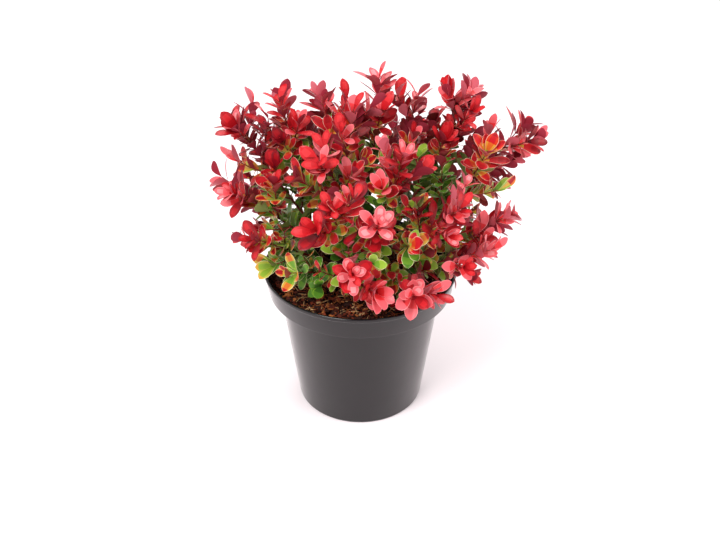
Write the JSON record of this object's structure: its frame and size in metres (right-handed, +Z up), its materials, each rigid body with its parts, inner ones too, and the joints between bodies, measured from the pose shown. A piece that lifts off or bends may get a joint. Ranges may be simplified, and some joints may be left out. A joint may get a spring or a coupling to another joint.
{
  "type": "potted shrub",
  "caption": "Compact potted barberry shrub: upright twiggy shoots of small obovate red and green leaves rising from a root crown in a round black nursery pot full of compost.",
  "frame": {"origin": "middle of the pot's flat underside", "axes": "+Z up along the pot's axis, the side seen in the picture faces -Y, +X to the viewer's right"},
  "size_m": [0.3145, 0.254, 0.3409],
  "materials": {
    "pot": "glossy black injection-moulded polypropylene",
    "compost": "damp dark peat compost with bark fibres",
    "bark": "red-brown young bark, matt",
    "coral_leaf": "satin coral to crimson young leaves",
    "red_leaf": "satin dark red leaves",
    "green_leaf": "satin green leaves with red tips and pale margins"
  },
  "bodies": {
    "root": {"pot": "pot", "compost": "compost", "root_crown": "bark", "bough_middle": "bark", "bough_top": "bark", "bough_top_right": "bark", "bough_front_upper": "bark", "bough_left_middle": "bark", "bough_back_top_left": "bark", "bough_right_top": "bark", "bough_far_right": "bark", "bough_front_right": "bark", "bough_front_middle": "bark", "bough_front_left": "bark", "bough_left_side": "bark", "bough_left_top": "bark", "bough_left_upper": "bark", "bough_back_left": "bark", "bough_back_middle": "bark", "bough_back_right": "bark", "bough_right_side": "bark", "bough_right_low": "bark", "bough_front_right_low": "bark", "bough_front_right_rim": "bark", "bough_front_low": "bark", "bough_front_left_low": "bark", "bough_left_low": "bark", "bough_back_left_low": "bark", "bough_back_low": "bark", "bough_back_right_low": "bark", "foliage_middle": "coral_leaf", "foliage_top": "coral_leaf", "foliage_top_right": "coral_leaf", "foliage_front_upper": "coral_leaf", "foliage_left_middle": "coral_leaf", "foliage_back_top_left": "coral_leaf", "foliage_right_top": "red_leaf", "foliage_far_right": "red_leaf", "foliage_front_right": "red_leaf", "foliage_front_middle": "red_leaf", "foliage_front_left": "red_leaf", "foliage_left_side": "red_leaf", "foliage_left_top": "red_leaf", "foliage_left_upper": "red_leaf", "foliage_back_left": "red_leaf", "foliage_back_middle": "red_leaf", "foliage_back_right": "red_leaf", "foliage_right_side": "green_leaf", "foliage_right_low": "green_leaf", "foliage_front_right_low": "green_leaf", "foliage_front_right_rim": "green_leaf", "foliage_front_low": "green_leaf", "foliage_front_left_low": "green_leaf", "foliage_left_low": "green_leaf", "foliage_back_left_low": "green_leaf", "foliage_back_low": "green_leaf", "foliage_back_right_low": "green_leaf"}
  },
  "joints": []
}
